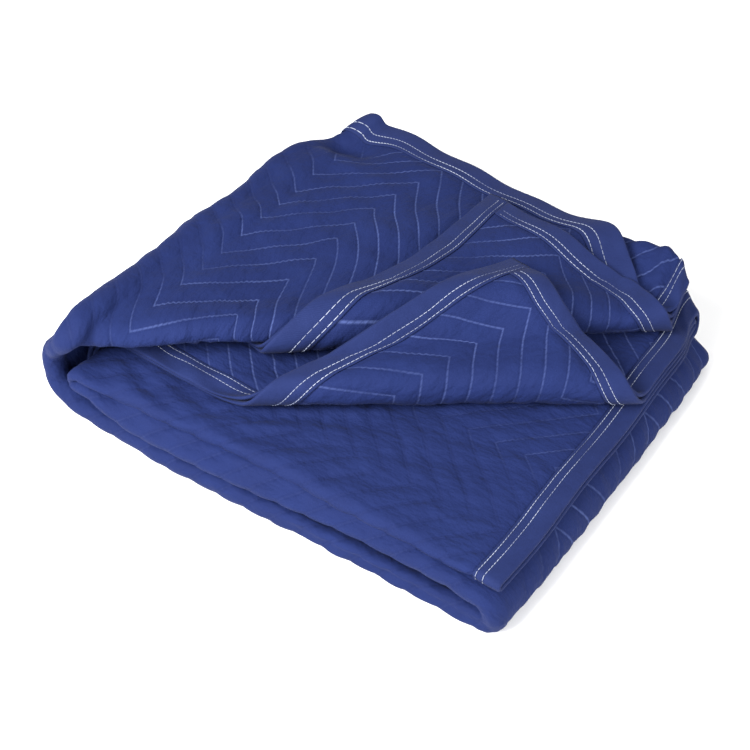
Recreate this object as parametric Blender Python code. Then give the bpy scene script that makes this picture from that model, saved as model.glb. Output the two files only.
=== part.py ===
"""A quilted moving blanket, folded into a stack of sixteen layers with two corners turned back.

The cloth is drawn flat, in (s, t): s runs along its long side and t across it, both from one corner.
Three folds then carry every point to its place: `cross_fold` gathers t into a strip of four layers,
`turn_back` lifts the loose corners, and `long_fold` lays the strip back and forth in four levels.
The origin lies under the middle of the stack, x along its longer side, z up.
"""

import math

import bpy
import numpy as np
from mathutils import Vector
from mathutils.geometry import delaunay_2d_cdt

# The cloth, laid flat
LENGTH = 2.073
WIDTH = 1.792
HALF_THICK = 0.0025
HALF_THICK_HEM = 0.0012

# The stack
LAYER = 0.0066
STRIP = 4 * LAYER
STACK_X = 0.540
STACK_Y = 0.464
HEM_X = 0.006

# Edge tape, and the clearance between it and the cloth
TAPE_WIDTH = 0.0265
TAPE_THICK = 0.0008
TAPE_GAP = 0.0003
TAPE_EDGE_GAP = 0.0007
HEM_BAND = 0.0270
HEM_RAMP = 0.0070

# Chevron quilting: the rows follow s, and each row zigzags across t
ROW_PITCH = 0.032
CHEVRON_SPAN = 0.094
CHEVRON_START = 0.073
QUILT_VALLEY = 0.0011
QUILT_CREST = 0.0006

BLANKET_COLOUR = (0.028, 0.040, 0.185, 1.0)
TAPE_COLOUR = (0.024, 0.033, 0.150, 1.0)


def lay_along(rows, start, heading, distance, offset):
    """Points at `distance` along a path of rows (length, turn), each a straight or an arc that turns left,
    moved `offset` to the left of the path. The first and last rows run on past their ends."""
    zero = np.zeros_like(distance)
    x, y, heading, left = start[0] + zero, start[1] + zero, heading + zero, distance + zero
    for number, (length, turn) in enumerate(rows):
        part = np.clip(
            left,
            -np.inf if number == 0 else 0.0,
            np.inf if number == len(rows) - 1 else length,
        )
        left = left - part
        if turn == 0.0:
            x = x + part * np.cos(heading)
            y = y + part * np.sin(heading)
            continue
        radius = length / turn
        after = heading + part / radius
        x = x + radius * (np.sin(after) - np.sin(heading))
        y = y - radius * (np.cos(after) - np.cos(heading))
        heading = after
    return x - offset * np.sin(heading), y + offset * np.cos(heading)


def arc(radius, degrees):
    """Row of a path: an arc that turns left by so many degrees, or right if they are negative."""
    turn = math.radians(degrees)
    return radius * abs(turn), turn


def smooth(value, low, high):
    """0 below low, 1 above high, and an S-shaped rise between."""
    part = np.clip((value - low) / (high - low), 0.0, 1.0)
    return part * part * (3.0 - 2.0 * part)


# Long fold: four levels of the strip, joined by an inner turn, a turn on the right, and an outer turn
LEFT_X = -STACK_X + 2.0 * STRIP
RIGHT_X = -STRIP
FLAT = RIGHT_X - LEFT_X
LEVEL_1 = -HEM_X - LEFT_X
TURN_IN = 0.5 * STRIP * math.pi
TURN_OUT = 1.5 * STRIP * math.pi
S_2 = LEVEL_1 + TURN_IN
S_3 = S_2 + FLAT + TURN_IN
S_4 = S_3 + FLAT + TURN_OUT
LONG_ROWS = [
    (LEVEL_1, 0.0), arc(0.5 * STRIP, 180),
    (FLAT, 0.0), arc(0.5 * STRIP, -180),
    (FLAT, 0.0), arc(1.5 * STRIP, -180),
    (LENGTH - S_4, 0.0),
]

# Cross fold: hem, layer, inner turn at the back, layer, roll at the front, layer, outer turn, layer, hem
TURN_Y = STACK_Y - HALF_THICK - 1.5 * LAYER
INNER_TURN = 0.5 * LAYER * math.pi
OUTER_TURN = 1.5 * LAYER * math.pi
ROLL_T = 0.5 * (WIDTH + INNER_TURN - OUTER_TURN)


def roll_rows(radius, neck, rise, flare_in, flare_out):
    """Front roll between two layers as rows of a path, with how far in front of each layer's end it reaches.
    `rise` is how far the roll stands above the first layer; the flares are the slopes of its two necks."""
    a, c = math.radians(flare_in), math.radians(flare_out)
    slope_in = (rise - (neck + radius) * (1 - math.cos(a))) / math.sin(a) if a else 0.0
    drop = rise - radius + LAYER - radius * math.cos(c) - math.copysign(neck, c) * (1 - math.cos(c))
    slope_out = drop / math.sin(c) if c else 0.0
    rows = []
    if a:
        rows += [arc(neck, -flare_in), (slope_in, 0.0)]
    rows.append(arc(radius, 180 + flare_in - flare_out))
    if c:
        rows += [(slope_out, 0.0), arc(neck, flare_out)]
    reach_in = neck * math.sin(a) + slope_in * math.cos(a) + radius * (1 + math.sin(a))
    reach_out = radius * (1 - math.sin(c)) + slope_out * math.cos(c) + neck * abs(math.sin(c))
    return rows, reach_in, reach_out


ROLLS = {
    "plain": roll_rows(0.5 * LAYER, 0.0, 0.0, 0, 0),
    "full_below": roll_rows(0.0085, 0.012, 0.0, 0, -48),
    "sagging": roll_rows(0.0069, 0.008, 0.0165, 42, 35),
    "full_above": roll_rows(0.0085, 0.012, 0.0104, 48, 0),
}

# Which roll the strip has along s: (s, weights of the rolls in the order above, front edge's y, and how far
# the turns at the back stand out)
LOOSENS, LOOSE = 0.030, 0.110
SKEW_STARTS = S_3 + 0.340
SKEW_ENDS = S_4 - 0.4 * TURN_OUT
ROLL_STATIONS = [
    (0.0, (1.0, 0.0, 0.0, 0.0), 0.0045, 0.0110),
    (LOOSENS, (1.0, 0.0, 0.0, 0.0), 0.0045, 0.0110),
    (LOOSE, (0.0, 1.0, 0.0, 0.0), 0.0045, 0.0110),
    (LEVEL_1 - 0.060, (0.0, 1.0, 0.0, 0.0), 0.0045, 0.0110),
    (LEVEL_1, (1.0, 0.0, 0.0, 0.0), 0.0045, 0.0110),
    (S_2, (1.0, 0.0, 0.0, 0.0), 0.0045, 0.0),
    (S_2 + 0.060, (0.0, 0.0, 1.0, 0.0), -0.0100, 0.0),
    (S_2 + FLAT - LOOSE, (0.0, 0.0, 1.0, 0.0), -0.0120, 0.0),
    (S_2 + FLAT - LOOSENS, (0.0, 0.0, 0.0, 1.0), -0.0120, 0.0),
    (S_3, (0.0, 0.0, 0.0, 1.0), -0.0190, 0.0),
    (SKEW_STARTS, (0.0, 0.0, 0.0, 1.0), -0.0190, 0.0),
    (SKEW_ENDS, (0.0, 0.0, 0.0, 1.0), 0.0025, 0.0420),
    (LENGTH, (0.0, 0.0, 0.0, 1.0), -0.1125, -0.0200),
]


def roll_excess(name):
    """How much longer a roll's path is than the reach of its two sides."""
    rows, reach_in, reach_out = ROLLS[name]
    return sum(row[0] for row in rows) - reach_in - reach_out


def roll_at(s):
    """Weight of every roll at s, where the turns at the back meet the two middle layers, and their y."""
    at = [row[0] for row in ROLL_STATIONS]
    weights = [np.interp(s, at, [row[1][k] for row in ROLL_STATIONS]) for k in range(len(ROLLS))]
    front = np.interp(s, at, [row[2] for row in ROLL_STATIONS])
    back = TURN_Y + np.interp(s, at, [row[3] for row in ROLL_STATIONS])
    half = back - front + 0.5 * roll_excess("full_above")
    return weights, ROLL_T - half, ROLL_T + half, back


def cross_fold(s, t, offset):
    """(s, t) and an offset from the middle of the cloth to y and the height h in the strip of four layers."""
    weights, low, high, back = roll_at(s)
    first = low - INNER_TURN
    last = WIDTH - high - OUTER_TURN
    y = np.zeros_like(s)
    h = np.zeros_like(s)
    for weight, (rows, reach_in, reach_out) in zip(weights, ROLLS.values()):
        if not np.any(weight > 0.0):
            continue
        spare = high - low - sum(row[0] for row in rows)
        layer_2 = 0.5 * (spare + reach_out - reach_in)
        layer_3 = 0.5 * (spare + reach_in - reach_out)
        path = [
            (first, 0.0), arc(0.5 * LAYER, -180), (layer_2, 0.0),
            *rows,
            (layer_3, 0.0), arc(1.5 * LAYER, 180), (last, 0.0),
        ]
        at = lay_along(path, (back - first, 2.5 * LAYER), 0.0, t, offset)
        y = y + weight * at[0]
        h = h + weight * at[1]
    return y, h


# Turned corners: the line that each turns about, as a point and its direction, with the layers it takes
CREASE_1 = (-0.4905, 0.0315)
CREASE_1_ANGLE = math.radians(38.6)
TURN_1 = 0.0162
CREASE_2_ANGLE = math.radians(34.6)
CREASE_2_AHEAD = 0.0740
TURN_2 = 0.0175
RISE = 50
WRAP = 0.0375
FOOT = 0.015
RISE_SLOPE = 0.0284
RISE_REACH = (FOOT + WRAP) * math.sin(math.radians(RISE)) + RISE_SLOPE * math.cos(math.radians(RISE))
PIVOT = 0.200

# Sag behind each turn: it dips by so many degrees, the upper corner over a length and the lower to its tip
SAG_1 = 10
SAG_RADIUS = 0.030
SAG_LENGTH = 0.0236
SAG_2 = 6

# How far the two middle layers of the upper corner fan out past the outer two
FAN_LEFT = 0.012
FAN_RIGHT = 0.040
FAN_END = 0.130
FAN_GROWS = (0.15, 0.50)

# The turned corners start this far along the cloth
CORNER_STARTS = S_4 - 0.5 * TURN_OUT
CORNER_BENDS_START = S_4 - 0.40 * TURN_OUT


def across_crease(x, y, point, angle):
    """Distances of (x, y) in front of a crease and along it."""
    dx, dy = x - point[0], y - point[1]
    return dx * math.sin(angle) - dy * math.cos(angle), dx * math.cos(angle) + dy * math.sin(angle)


def off_crease(front, along, point, angle):
    """The point that lies so far in front of a crease and along it."""
    return (
        point[0] + front * math.sin(angle) + along * math.cos(angle),
        point[1] - front * math.cos(angle) + along * math.sin(angle),
    )


CREASE_2 = off_crease(CREASE_2_AHEAD, PIVOT, CREASE_1, CREASE_1_ANGLE)


def crease_gap(along):
    """Distance between the two creases at a place along the second."""
    x, y = off_crease(0.0, along, CREASE_2, CREASE_2_ANGLE)
    return across_crease(x, y, CREASE_1, CREASE_1_ANGLE)[0]


def turn_back(s, t, y, h):
    """Lifts the corners: all four layers of the top level, and the two upper layers of level 1."""
    _, low, high, _ = roll_at(s)
    first = low - INNER_TURN
    last = high + OUTER_TURN

    x = LEFT_X + (s - S_4)
    front, along = across_crease(x, y, CREASE_1, CREASE_1_ANGLE)
    path = [
        (0.0, 0.0), arc(TURN_1, 180),
        arc(SAG_RADIUS, SAG_1), (SAG_LENGTH, 0.0), arc(SAG_RADIUS, -SAG_1), (1.0, 0.0),
    ]
    new_front, up = lay_along(path, (0.0, 0.0), 0.0, front, 0.5 * STRIP - h)
    x_new, y_new = off_crease(new_front, along, CREASE_1, CREASE_1_ANGLE)
    fan = (FAN_LEFT + FAN_RIGHT * smooth(along, *FAN_GROWS)) * smooth(front, TURN_1 * math.pi, FAN_END)
    y_new = y_new + np.where((t > first) & (t < last), fan, 0.0)
    top = (s > CORNER_STARTS) & (front > 0.0)
    s_out = np.where(top, x_new - LEFT_X + S_4, s)
    y_out = np.where(top, y_new, y)
    h_out = np.where(top, 0.5 * STRIP - up, h)

    x = -HEM_X - s
    front, along = across_crease(x, y, CREASE_2, CREASE_2_ANGLE)
    path = [
        (0.0, 0.0), arc(TURN_2, 180), (crease_gap(along) - RISE_REACH, 0.0),
        arc(FOOT, -RISE), (RISE_SLOPE, 0.0), arc(WRAP, RISE),
        arc(SAG_RADIUS, SAG_2), (1.0, 0.0),
    ]
    new_front, up = lay_along(path, (0.0, 0.0), 0.0, front, h - 3.0 * LAYER)
    x_new, y_new = off_crease(new_front, along, CREASE_2, CREASE_2_ANGLE)
    corner = (s < LEVEL_1) & (front > 0.0) & ((t < first) | (t > last))
    s_out = np.where(corner, -HEM_X - x_new, s_out)
    y_out = np.where(corner, y_new, y_out)
    h_out = np.where(corner, 3.0 * LAYER + up, h_out)
    return s_out, y_out, h_out


def long_fold(s, h):
    """s along the strip and the height h in it to x and z."""
    return lay_along(LONG_ROWS, (-HEM_X, 2.5 * STRIP), math.pi, s, 0.5 * STRIP - h)


# Unevenness of the stack: (shift x, y, z at full height, waves along x and y, phase)
STACK_HEIGHT = 4 * STRIP
WAVES = [
    (0.0035, 0.0000, 0.0016, 3.1, 6.0, 0.4),
    (0.0000, 0.0040, -0.0014, 7.0, 2.6, 1.7),
    (0.0020, -0.0020, 0.0012, 5.0, 4.3, 2.9),
]
FLOOR = 0.5 * LAYER - HALF_THICK


def settle(x, y, z):
    """Shifts the stack a little, more towards its top, and moves it over the origin and onto the floor."""
    z = z - FLOOR
    lean = z / STACK_HEIGHT
    dx, dy, dz = 0.0 * x, 0.0 * x, 0.0 * x
    for shift_x, shift_y, lift, wave_x, wave_y, phase in WAVES:
        wave = np.sin(wave_x * x + wave_y * y + phase) * lean
        dx = dx + shift_x * wave
        dy = dy + shift_y * wave
        dz = dz + lift * wave
    return x + dx + 0.5 * STACK_X, y + dy - 0.5 * STACK_Y, z + dz


def fold(s, t, offset):
    """Every point of the flat cloth, with its offset from the middle of the thickness, to its place."""
    s, t, offset = (np.asarray(a, float) for a in (s, t, offset))
    y, h = cross_fold(s, t, offset)
    s, y, h = turn_back(s, t, y, h)
    x, z = long_fold(s, h)
    return np.stack(settle(x, y, z), axis=1)


def zigzag(t):
    """Shift along s of a quilting row at t."""
    part = np.mod(t - CHEVRON_START, 2.0 * CHEVRON_SPAN)
    return np.minimum(part, 2.0 * CHEVRON_SPAN - part)


def hem_distance(s, t):
    """Distance from the nearest edge of the cloth."""
    return np.minimum(np.minimum(s, LENGTH - s), np.minimum(t, WIDTH - t))


def half_thickness(s, t):
    """Half the cloth's thickness: thin in the band under the tape, full past a short ramp."""
    part = np.clip((hem_distance(s, t) - HEM_BAND) / HEM_RAMP, 0.0, 1.0)
    return HALF_THICK_HEM + (HALF_THICK - HALF_THICK_HEM) * part


def layer_of(s, t):
    """Number of the layer in the strip: 1 to 4, or 0 in a turn."""
    _, first, last, _ = roll_at(s)
    number = np.where(t < ROLL_T, 2, 3)
    number = np.where(t < first, 0, number)
    number = np.where(t < first - INNER_TURN, 1, number)
    number = np.where(t > last, 0, number)
    return np.where(t > last + OUTER_TURN, 4, number)


def flat_place(s, t):
    """Where (s, t) lies in plan before its corner is turned back."""
    y, _ = cross_fold(s, t, np.zeros_like(s))
    x = np.where(s < LEVEL_1, -HEM_X - s, LEFT_X + (s - S_4))
    return x, y


def quilted(s, t):
    """True where the quilting shows: layer 2 of level 1 in front, and the turned corners."""
    x, y = flat_place(s, t)
    layer = layer_of(s, t)
    front_1, _ = across_crease(x, y, CREASE_1, CREASE_1_ANGLE)
    front_2, _ = across_crease(x, y, CREASE_2, CREASE_2_ANGLE)
    inside = hem_distance(s, t) > HEM_BAND + HEM_RAMP + 0.002
    low = (s < LEVEL_1 - 0.005) & (((layer == 2) & (front_2 > -0.010)) | ((layer == 1) & (front_2 > 0.020)))
    high = (s > S_4) & (front_1 > 0.020) & ((layer == 2) | (layer == 4))
    return inside & (low | high)


def quilt_height(s, t):
    """Height of the face over its mean: valleys along the stitched rows, crests half-way between."""
    row = np.mod((s - zigzag(t)) / ROW_PITCH, 1.0)
    puff = 1.0 - np.abs(2.0 * row - 1.0)
    return np.where(quilted(s, t), (QUILT_CREST + QUILT_VALLEY) * puff - QUILT_VALLEY, 0.0)


def runs(points, keep):
    """The stretches of a line of points where `keep` is true, at least two points each."""
    found = []
    run = []
    for point, inside in zip(points, keep):
        if inside:
            run.append(point)
            continue
        if len(run) > 1:
            found.append(run)
        run = []
    if len(run) > 1:
        found.append(run)
    return found


def chevron_lines():
    """Valleys and crests of the quilting as lines in (s, t), with points at every corner of a zigzag."""
    corners = [CHEVRON_START + k * CHEVRON_SPAN for k in range(-1, 20)]
    lines = []
    for half_row in range(-6, int(2 * LENGTH / ROW_PITCH) + 1):
        base = 0.5 * half_row * ROW_PITCH
        for low, high in zip(corners, corners[1:]):
            t = np.linspace(low, high, 5)
            s = base + zigzag(t)
            lines += runs(list(zip(s, t)), quilted(s, t))
    return lines


# Lines that the cloth bends along
TURN_STATIONS_IN = [LEVEL_1 + TURN_IN * k / 6 for k in range(7)]
TURN_STATIONS_RIGHT = [S_3 - TURN_IN + TURN_IN * k / 6 for k in range(7)]
TURN_STATIONS_OUT = [S_4 - TURN_OUT + TURN_OUT * k / 10 for k in range(11)]
LOW_STATIONS = [LOOSENS, LOOSE, 0.19, 0.28, 0.37]
FLAT_STATIONS = [
    S_2 + 0.060, S_2 + 0.20, S_2 + FLAT - LOOSE, S_2 + FLAT - LOOSENS, S_3 + 0.10, S_3 + 0.22, SKEW_STARTS,
]
ROLL_LINES = [-0.045, -0.036, -0.028, -0.021, -0.014, -0.007, 0.0, 0.007, 0.014, 0.021, 0.028, 0.036, 0.045]


def s_lines():
    """Bends of the long fold, across the cloth, as stretches in (s, t)."""
    full = TURN_STATIONS_IN + TURN_STATIONS_RIGHT + TURN_STATIONS_OUT + FLAT_STATIONS
    lines = [[(s, 0.0), (s, WIDTH)] for s in full]
    for s in LOW_STATIONS:
        _, low, high, _ = roll_at(s)
        lines.append([(s, float(low) - INNER_TURN), (s, float(high) + OUTER_TURN)])
    return lines


def t_lines():
    """Bends of the cross fold, along the cloth, as stretches in (s, t)."""
    kinks = sorted({0.0, LENGTH, *(row[0] for row in ROLL_STATIONS)})
    s = np.array(kinks)
    _, low, high, _ = roll_at(s)
    lines = [low - INNER_TURN * k / 4 for k in range(5)]
    lines += [high + OUTER_TURN * k / 6 for k in range(7)]
    lines = [list(zip(s, t)) for t in lines]
    return lines + [[(0.0, ROLL_T + shift), (LENGTH, ROLL_T + shift)] for shift in ROLL_LINES]


def crease_steps(level):
    """Distances in front of a crease of the lines that its corner bends along, and of a few more between.
    With each, 1 if it keeps its distance from the first crease, not from its own."""
    if level == 4:
        length = TURN_1 * math.pi
        bend = SAG_RADIUS * math.radians(SAG_1)
        bends = [length * k / 8 for k in range(9)]
        bends += [length + bend, length + bend + SAG_LENGTH, length + 2 * bend + SAG_LENGTH]
        return [(step, 0.0) for step in [-0.18, -0.12, -0.06] + bends + [0.16, 0.22, 0.28]]
    length = TURN_2 * math.pi
    foot = length - RISE_REACH + FOOT * math.radians(RISE)
    slope = foot + RISE_SLOPE
    wrap = WRAP * math.radians(RISE)
    bends = [foot - FOOT * math.radians(RISE) * k for k in (1.0, 0.5, 0.0)]
    bends += [slope + wrap * k / 3 for k in (0, 1, 2, 3)]
    bends.append(slope + wrap + SAG_RADIUS * math.radians(SAG_2))
    steps = [-0.14, -0.09, -0.04] + [length * k / 7 for k in range(8)]
    return [(step, 0.0) for step in steps] + [(step, 1.0) for step in bends]


def to_flat(level, layer, x, y):
    """(s, t) of a point in plan of a layer of the first or the last level."""
    s = -HEM_X - x if level == 1 else S_4 + x - LEFT_X
    _, low, high, back = roll_at(s)
    t = {
        1: low - INNER_TURN - (back - y),
        2: low + (back - y),
        3: high - (back - y),
        4: high + OUTER_TURN + (back - y),
    }[layer]
    return np.array([float(s), float(t)])


def clip(start, end, limits):
    """The stretch from start to end inside limits, each (a, b, c) for a * s + b * t >= c, or None."""
    low, high = 0.0, 1.0
    for a, b, c in limits:
        at_start = a * start[0] + b * start[1] - c
        change = a * (end[0] - start[0]) + b * (end[1] - start[1])
        if abs(change) < 1e-12:
            if at_start < 0.0:
                return None
            continue
        cut = -at_start / change
        low, high = (max(low, cut), high) if change > 0.0 else (low, min(high, cut))
    if high - low < 1e-9:
        return None
    return [tuple(start + (end - start) * low), tuple(start + (end - start) * high)]


def oblique_lines():
    """Bends of the turned corners, in (s, t), each across its layer."""
    lines = []
    for level, layers, point, angle, limits in (
        (4, (1, 2, 3, 4), CREASE_1, CREASE_1_ANGLE, [(1, 0, CORNER_BENDS_START), (-1, 0, -LENGTH)]),
        (1, (1, 4), CREASE_2, CREASE_2_ANGLE, [(1, 0, 0.0), (-1, 0, 0.01 - LEVEL_1)]),
    ):
        for front, follows in crease_steps(level):
            middle = off_crease(front + follows * crease_gap(0.25), 0.25, point, angle)
            further = off_crease(front + follows * crease_gap(0.30), 0.30, point, angle)
            for layer in layers:
                a = to_flat(level, layer, *middle)
                b = to_flat(level, layer, *further)
                back_a = to_flat(level, layer, middle[0], roll_at(a[0])[3])
                back_b = to_flat(level, layer, further[0], roll_at(b[0])[3])
                slope = (back_b[1] - back_a[1]) / (back_b[0] - back_a[0])
                turn = back_a[1] - slope * back_a[0]
                in_layer = {
                    1: [(0, 1, 0.0), (slope, -1, -turn)],
                    2: [(-slope, 1, turn), (0, -1, -ROLL_T)],
                    3: [(slope, -1, -turn), (0, 1, ROLL_T)],
                    4: [(-slope, 1, turn), (0, -1, -WIDTH)],
                }[layer]
                stretch = clip(a - 20 * (b - a), b + 20 * (b - a), limits + in_layer)
                if stretch:
                    lines.append(stretch)
    return lines


def triangulate(lines):
    """Points and triangles of the flat cloth with every line in it as edges."""
    points = []
    edges = []
    frame = [(0.0, 0.0), (LENGTH, 0.0), (LENGTH, WIDTH), (0.0, WIDTH), (0.0, 0.0)]
    for line in [frame, *lines]:
        edges += [(len(points) + k, len(points) + k + 1) for k in range(len(line) - 1)]
        points += [Vector((float(s), float(t))) for s, t in line]
    found, _, faces, *_ = delaunay_2d_cdt(points, edges, [], 0, 1e-6)
    flat = np.array([[v.x, v.y] for v in found])
    rows = []
    for face in faces:
        a, b, c = (flat[k] for k in face[:3])
        area = (b[0] - a[0]) * (c[1] - a[1]) - (b[1] - a[1]) * (c[0] - a[0])
        if abs(area) > 1e-10:
            rows.append(list(face) if area > 0.0 else list(face)[::-1])
    return flat, rows


def border(flat):
    """Numbers of the points on the cloth's edge, in order round it."""
    s, t = flat[:, 0], flat[:, 1]
    near = 1e-5
    at = np.full(len(flat), -1.0)
    at = np.where(t < near, s, at)
    at = np.where(s > LENGTH - near, LENGTH + t, at)
    at = np.where(t > WIDTH - near, 2 * LENGTH + WIDTH - s, at)
    at = np.where((s < near) & (t > near), 2 * LENGTH + 2 * WIDTH - t, at)
    number = np.flatnonzero(at >= 0.0)
    return number[np.argsort(at[number])]


def add_object(name, points, faces, colour, roughness):
    """A mesh object of its own, with its own material."""
    mesh = bpy.data.meshes.new(name)
    mesh.from_pydata([tuple(map(float, p)) for p in points], [], [tuple(map(int, f)) for f in faces])
    mesh.validate()
    mesh.shade_smooth()
    material = bpy.data.materials.new(name)
    material.use_nodes = True
    shader = material.node_tree.nodes["Principled BSDF"]
    shader.inputs["Base Color"].default_value = colour
    shader.inputs["Roughness"].default_value = roughness
    mesh.materials.append(material)
    bpy.context.collection.objects.link(bpy.data.objects.new(name, mesh))


def hem_lines():
    """Edges of the thin band under the tape, and of the ramp behind it."""
    lines = []
    for inset in (HEM_BAND, HEM_BAND + HEM_RAMP):
        corners = [
            (inset, inset), (LENGTH - inset, inset), (LENGTH - inset, WIDTH - inset), (inset, WIDTH - inset),
        ]
        lines.append([*corners, corners[0]])
    return lines


def build_blanket():
    """The quilted cloth: its face with the chevrons raised, its back, and the cut edge between them."""
    bends = s_lines() + t_lines() + oblique_lines() + hem_lines()
    face, face_rows = triangulate(bends + chevron_lines())
    back, back_rows = triangulate(bends)
    s, t = face[:, 0], face[:, 1]
    face_points = fold(s, t, -half_thickness(s, t) - quilt_height(s, t))
    s, t = back[:, 0], back[:, 1]
    back_points = fold(s, t, half_thickness(s, t))
    rows = [list(row) for row in face_rows]
    rows += [[len(face) + k for k in row[::-1]] for row in back_rows]
    ring_face = border(face)
    ring_back = border(back) + len(face)
    for k in range(len(ring_face)):
        a, b = ring_face[k - 1], ring_face[k]
        c, d = ring_back[k], ring_back[k - 1]
        rows += [[c, b, a], [d, c, a]]
    add_object("blanket", np.vstack([face_points, back_points]), rows, BLANKET_COLOUR, 0.85)


# Tapes: (name, corner it starts from, direction along it, direction inwards, length, how far it is cut back)
TAPES = [
    ("binding_left", (0.0, 0.0), (1.0, 0.0), (0.0, 1.0), LENGTH, -TAPE_EDGE_GAP - TAPE_THICK),
    ("binding_right", (0.0, WIDTH), (1.0, 0.0), (0.0, -1.0), LENGTH, -TAPE_EDGE_GAP - TAPE_THICK),
    ("binding_start", (0.0, 0.0), (0.0, 1.0), (1.0, 0.0), WIDTH, TAPE_WIDTH + TAPE_GAP),
    ("binding_end", (LENGTH, 0.0), (0.0, 1.0), (-1.0, 0.0), WIDTH, TAPE_WIDTH + TAPE_GAP),
]


def tape_stations(corner, along, inward, length, cut_back):
    """Where every bend crosses the tape: (place along the edge, its change per metre inwards)."""
    corner, along, inward = np.array(corner), np.array(along), np.array(inward)
    found = [(cut_back, 0.0), (length - cut_back, 0.0)]
    for line in s_lines() + t_lines() + oblique_lines():
        for a, b in zip(line, line[1:]):
            a, b = np.array(a) - corner, np.array(b) - corner
            depth_a, depth_b = a @ inward, b @ inward
            if min(depth_a, depth_b) > 1e-4 or max(depth_a, depth_b) < HEM_BAND:
                continue
            slope = (b @ along - a @ along) / (depth_b - depth_a)
            place = a @ along - slope * depth_a
            deep = place + slope * HEM_BAND
            if min(place, deep) > cut_back and max(place, deep) < length - cut_back:
                found.append((place, slope))
    found.sort()
    kept = [found[0]]
    for place, slope in found[1:]:
        deep = place + slope * HEM_BAND
        if place - kept[-1][0] > 2e-4 and deep - kept[-1][0] - kept[-1][1] * HEM_BAND > 2e-4:
            kept.append((place, slope))
    return kept


def build_tape(name, corner, along, inward, length, cut_back):
    """A tape folded over the hem: a U section swept along its stations."""
    outer = HALF_THICK_HEM + TAPE_GAP + TAPE_THICK
    inner = HALF_THICK_HEM + TAPE_GAP
    section = [
        (TAPE_WIDTH, outer), (-TAPE_EDGE_GAP - TAPE_THICK, outer), (-TAPE_EDGE_GAP - TAPE_THICK, -outer),
        (TAPE_WIDTH, -outer), (TAPE_WIDTH, -inner),
        (-TAPE_EDGE_GAP, -inner), (-TAPE_EDGE_GAP, inner), (TAPE_WIDTH, inner),
    ]
    stations = tape_stations(corner, along, inward, length, cut_back)
    flat = []
    for place, slope in stations:
        for depth, height in section:
            at = place + slope * depth
            flat.append((
                corner[0] + along[0] * at + inward[0] * depth,
                corner[1] + along[1] * at + inward[1] * depth,
                height,
            ))
    flat = np.array(flat)
    points = fold(flat[:, 0], flat[:, 1], flat[:, 2])
    sides = len(section)
    flip = along[0] * inward[1] - along[1] * inward[0] > 0.0
    rows = []
    for j in range(len(stations) - 1):
        for k in range(sides):
            a, b = j * sides + k, j * sides + (k + 1) % sides
            c, d = b + sides, a + sides
            rows += [[a, b, c], [a, c, d]]
    end = (len(stations) - 1) * sides
    for quad in ([0, 1, 6, 7], [1, 2, 5, 6], [2, 3, 4, 5]):
        rows.append(quad[::-1])
        rows.append([end + k for k in quad])
    if flip:
        rows = [row[::-1] for row in rows]
    add_object(name, points, rows, TAPE_COLOUR, 0.8)


for old in list(bpy.data.objects):
    bpy.data.objects.remove(old)
build_blanket()
for tape in TAPES:
    build_tape(*tape)
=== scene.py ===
"""A quilted moving blanket, folded into a stack with two corners turned back, on a pale studio floor.

Lengths are in metres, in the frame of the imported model: the origin is on the floor under the stack.
"""

import math

import bpy
import numpy as np
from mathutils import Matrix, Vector
from mathutils.geometry import delaunay_2d_cdt


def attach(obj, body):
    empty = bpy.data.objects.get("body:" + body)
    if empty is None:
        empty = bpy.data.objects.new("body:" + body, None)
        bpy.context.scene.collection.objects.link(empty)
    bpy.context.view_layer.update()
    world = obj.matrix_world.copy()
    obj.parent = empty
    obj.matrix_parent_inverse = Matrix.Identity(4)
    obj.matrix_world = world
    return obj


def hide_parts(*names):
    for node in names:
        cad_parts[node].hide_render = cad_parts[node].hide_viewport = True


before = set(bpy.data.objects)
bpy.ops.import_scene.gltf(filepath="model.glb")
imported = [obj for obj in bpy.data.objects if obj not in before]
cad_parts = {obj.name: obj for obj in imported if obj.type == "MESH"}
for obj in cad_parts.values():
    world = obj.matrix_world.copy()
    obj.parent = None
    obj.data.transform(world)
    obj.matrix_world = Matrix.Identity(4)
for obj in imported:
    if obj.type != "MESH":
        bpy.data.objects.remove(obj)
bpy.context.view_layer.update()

# Camera
# Stands over the front corner of the stack, as high as a person's eyes over a low table, and looks down on
# the blanket's front rolls and its right side. The lens is a little long, so the stack keeps its shape.
CAMERA_AT = (0.5919, -0.8851, 0.9635)
CAMERA_PITCH = math.radians(41.98)
CAMERA_YAW = math.radians(-34.93)

camera_data = bpy.data.cameras.new("camera")
camera_data.lens = 62.4
camera_data.sensor_width = 36.0
camera = bpy.data.objects.new("camera", camera_data)
bpy.context.collection.objects.link(camera)
forward = Vector((
    math.sin(CAMERA_YAW) * math.cos(CAMERA_PITCH),
    math.cos(CAMERA_YAW) * math.cos(CAMERA_PITCH),
    -math.sin(CAMERA_PITCH),
))
camera.location = CAMERA_AT
camera.rotation_mode = "QUATERNION"
camera.rotation_quaternion = forward.to_track_quat("-Z", "Y")
bpy.context.scene.camera = camera

# Blanket
# Two woven faces with thin batting between them, quilted through in rows of chevrons and folded by hand:
# in four across, then in four along, with the loose corners of the two upper levels turned back.
# The cloth is drawn flat, in (s, t): s runs along its long side and t across it, from one corner.

# The cloth, laid flat
LENGTH = 2.073
WIDTH = 1.792
HALF_THICK = 0.0025
HALF_THICK_HEM = 0.0012
HALF_THICK_PRESSED = 0.0006

# The stack
LAYER = 0.0066
STRIP = 4 * LAYER
STACK_X = 0.540
STACK_Y = 0.464
HEM_X = 0.006

# Edge tape, and the clearance between it and the cloth
TAPE_WIDTH = 0.0265
TAPE_THICK = 0.0008
TAPE_GAP = 0.0003
TAPE_EDGE_GAP = 0.0007
HEM_BAND = 0.0270
HEM_RAMP = 0.0070

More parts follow.
